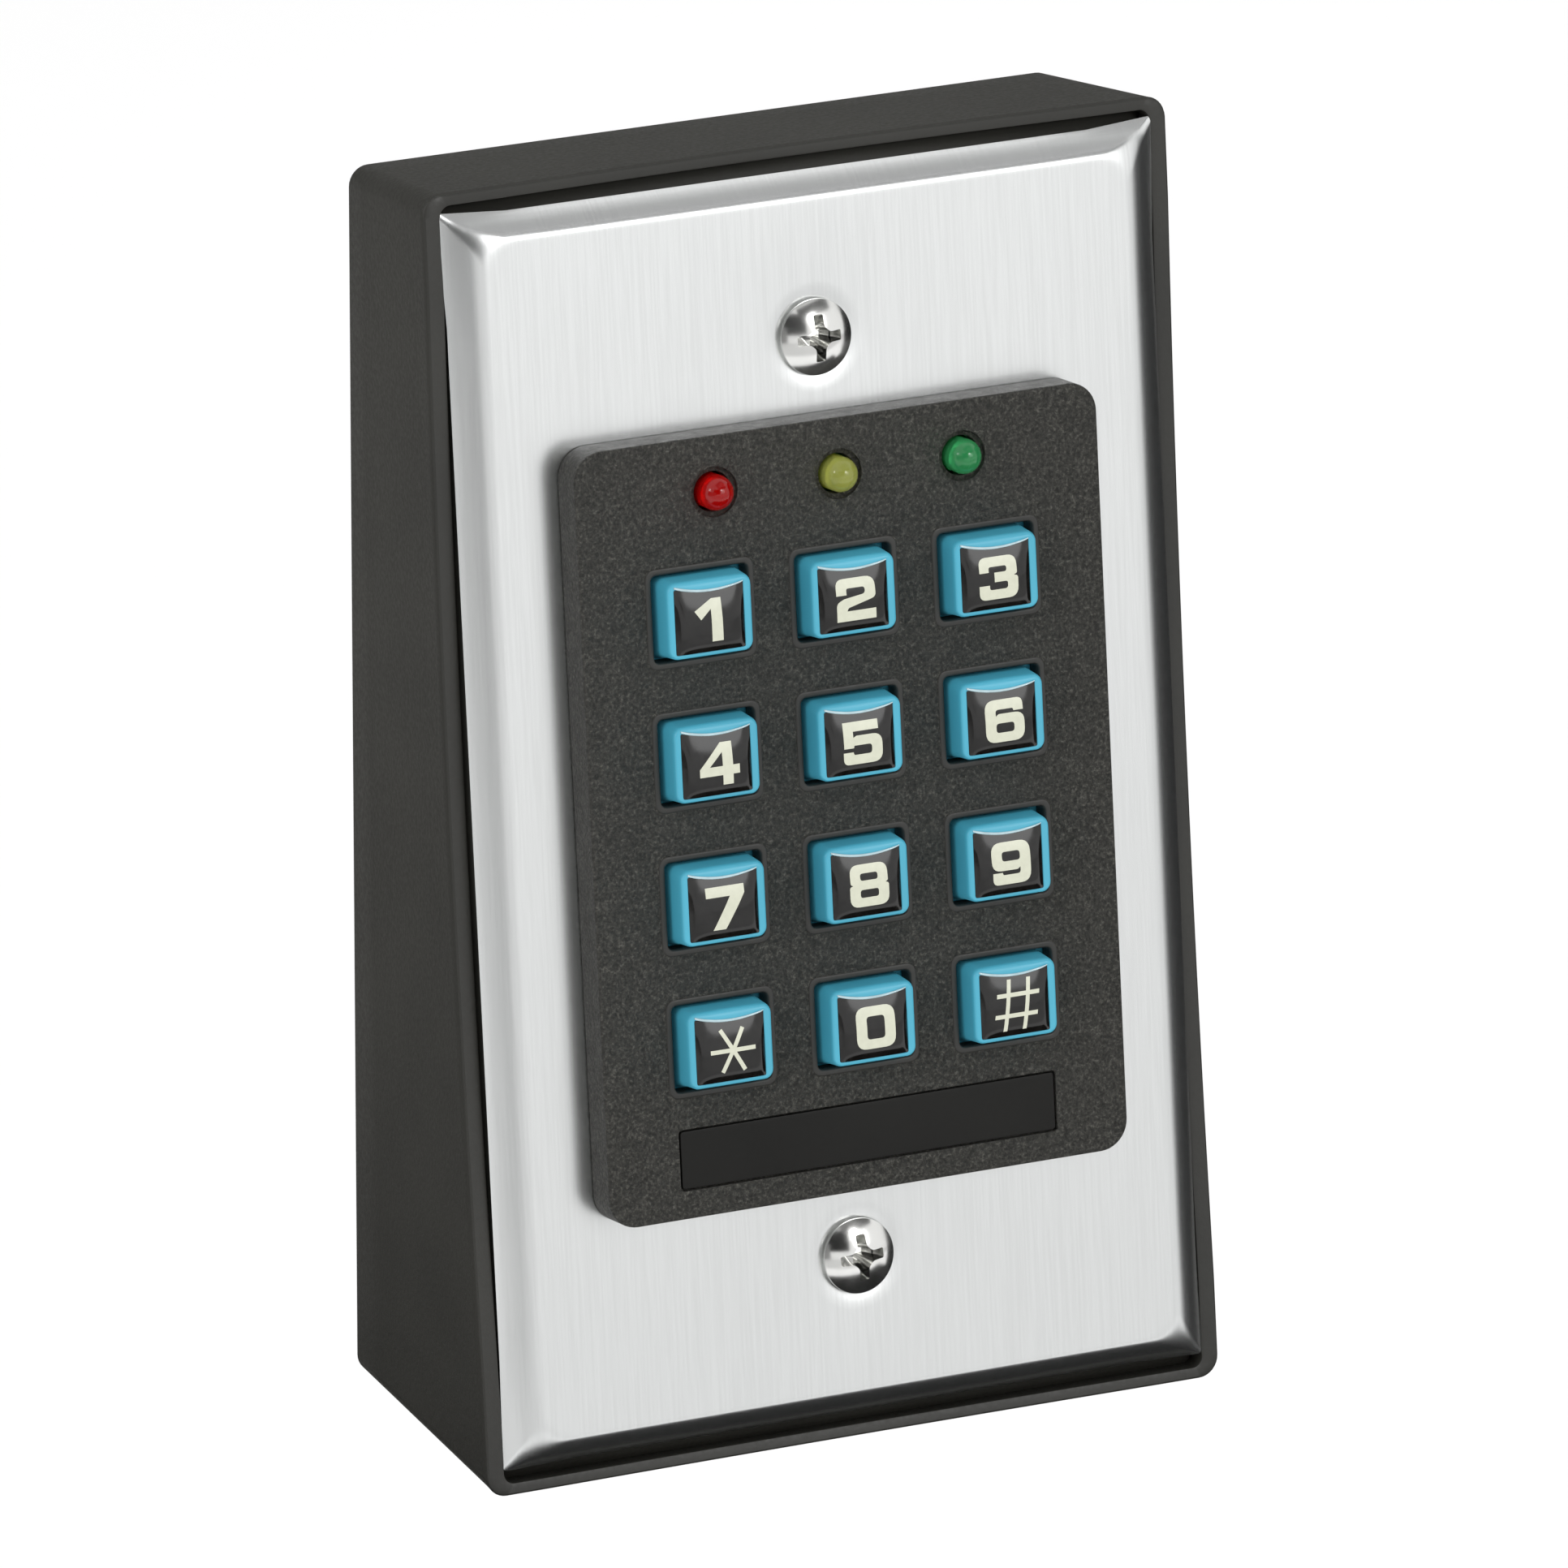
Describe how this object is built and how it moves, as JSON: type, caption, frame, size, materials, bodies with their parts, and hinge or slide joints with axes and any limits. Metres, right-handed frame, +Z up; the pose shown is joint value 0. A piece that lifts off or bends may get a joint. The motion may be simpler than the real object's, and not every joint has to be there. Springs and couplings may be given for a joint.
{
  "type": "keypad access reader",
  "caption": "Surface-mount keypad access reader: black wedge box, brushed steel cover plate, textured keypad housing with blue numbered push keys and indicator lamps.",
  "frame": {"origin": "middle of the flat back of the surface box, where it lies on the wall", "axes": "+Z up, +Y into the wall, +X to the right as a person faces the keypad, which looks along -Y; the cover plate leans back 5.9 degrees at the top"},
  "size_m": [0.073, 0.0344, 0.1164],
  "materials": {
    "box_plastic": "fine satin black moulding",
    "stainless_steel": "vertical brushed grain",
    "bright_nickel": "bright nickel plating",
    "bezel_plastic": "pebbled charcoal moulding",
    "keycap_plastic": "satin blue moulding",
    "legend_tile": "gloss black tile with cream legend",
    "label_plastic": "plain black label",
    "lamp_red": "tinted lens",
    "lamp_yellow": "tinted lens",
    "lamp_green": "tinted lens",
    "silicone_rubber": "matte grey",
    "board_laminate": "green solder mask",
    "zinc_steel": "zinc plated",
    "nylon": "natural nylon",
    "relay_case": "dark blue case",
    "terminal_plastic": "green terminal block",
    "chip_plastic": "black epoxy"
  },
  "bodies": {
    "housing": {"surface_box": "box_plastic", "cover_plate": "stainless_steel", "plate_screw_top": "bright_nickel", "plate_screw_bottom": "bright_nickel", "keypad_bezel": "bezel_plastic", "nameplate": "label_plastic", "lamp_red": "lamp_red", "lamp_yellow": "lamp_yellow", "lamp_green": "lamp_green", "dome_mat": "silicone_rubber", "circuit_board": "board_laminate", "bezel_screw_1": "zinc_steel", "bezel_screw_2": "zinc_steel", "bezel_screw_3": "zinc_steel", "bezel_screw_4": "zinc_steel", "board_spacer_1": "nylon", "board_spacer_2": "nylon", "board_spacer_3": "nylon", "board_spacer_4": "nylon", "relay": "relay_case", "terminal_block": "terminal_plastic", "controller_chip": "chip_plastic", "regulator": "chip_plastic", "buzzer": "chip_plastic", "capacitor": "relay_case"},
    "key_1": {"keycap_1": "keycap_plastic", "legend_1": "legend_tile"},
    "key_2": {"keycap_2": "keycap_plastic", "legend_2": "legend_tile"},
    "key_3": {"keycap_3": "keycap_plastic", "legend_3": "legend_tile"},
    "key_4": {"keycap_4": "keycap_plastic", "legend_4": "legend_tile"},
    "key_5": {"keycap_5": "keycap_plastic", "legend_5": "legend_tile"},
    "key_6": {"keycap_6": "keycap_plastic", "legend_6": "legend_tile"},
    "key_7": {"keycap_7": "keycap_plastic", "legend_7": "legend_tile"},
    "key_8": {"keycap_8": "keycap_plastic", "legend_8": "legend_tile"},
    "key_9": {"keycap_9": "keycap_plastic", "legend_9": "legend_tile"},
    "key_star": {"keycap_star": "keycap_plastic", "legend_star": "legend_tile"},
    "key_0": {"keycap_0": "keycap_plastic", "legend_0": "legend_tile"},
    "key_hash": {"keycap_hash": "keycap_plastic", "legend_hash": "legend_tile"}
  },
  "joints": [
    {"name": "key_1_press", "type": "slide", "parent": "housing", "child": "key_1", "axis": [0, 0.9947, -0.1028], "range_m": [0, 0.001], "stiffness_N_per_m": 1000, "springref_m": -0.0004},
    {"name": "key_2_press", "type": "slide", "parent": "housing", "child": "key_2", "axis": [0, 0.9947, -0.1028], "range_m": [0, 0.001], "stiffness_N_per_m": 1000, "springref_m": -0.0004},
    {"name": "key_3_press", "type": "slide", "parent": "housing", "child": "key_3", "axis": [0, 0.9947, -0.1028], "range_m": [0, 0.001], "stiffness_N_per_m": 1000, "springref_m": -0.0004},
    {"name": "key_4_press", "type": "slide", "parent": "housing", "child": "key_4", "axis": [0, 0.9947, -0.1028], "range_m": [0, 0.001], "stiffness_N_per_m": 1000, "springref_m": -0.0004},
    {"name": "key_5_press", "type": "slide", "parent": "housing", "child": "key_5", "axis": [0, 0.9947, -0.1028], "range_m": [0, 0.001], "stiffness_N_per_m": 1000, "springref_m": -0.0004},
    {"name": "key_6_press", "type": "slide", "parent": "housing", "child": "key_6", "axis": [0, 0.9947, -0.1028], "range_m": [0, 0.001], "stiffness_N_per_m": 1000, "springref_m": -0.0004},
    {"name": "key_7_press", "type": "slide", "parent": "housing", "child": "key_7", "axis": [0, 0.9947, -0.1028], "range_m": [0, 0.001], "stiffness_N_per_m": 1000, "springref_m": -0.0004},
    {"name": "key_8_press", "type": "slide", "parent": "housing", "child": "key_8", "axis": [0, 0.9947, -0.1028], "range_m": [0, 0.001], "stiffness_N_per_m": 1000, "springref_m": -0.0004},
    {"name": "key_9_press", "type": "slide", "parent": "housing", "child": "key_9", "axis": [0, 0.9947, -0.1028], "range_m": [0, 0.001], "stiffness_N_per_m": 1000, "springref_m": -0.0004},
    {"name": "key_star_press", "type": "slide", "parent": "housing", "child": "key_star", "axis": [0, 0.9947, -0.1028], "range_m": [0, 0.001], "stiffness_N_per_m": 1000, "springref_m": -0.0004},
    {"name": "key_0_press", "type": "slide", "parent": "housing", "child": "key_0", "axis": [0, 0.9947, -0.1028], "range_m": [0, 0.001], "stiffness_N_per_m": 1000, "springref_m": -0.0004},
    {"name": "key_hash_press", "type": "slide", "parent": "housing", "child": "key_hash", "axis": [0, 0.9947, -0.1028], "range_m": [0, 0.001], "stiffness_N_per_m": 1000, "springref_m": -0.0004}
  ]
}
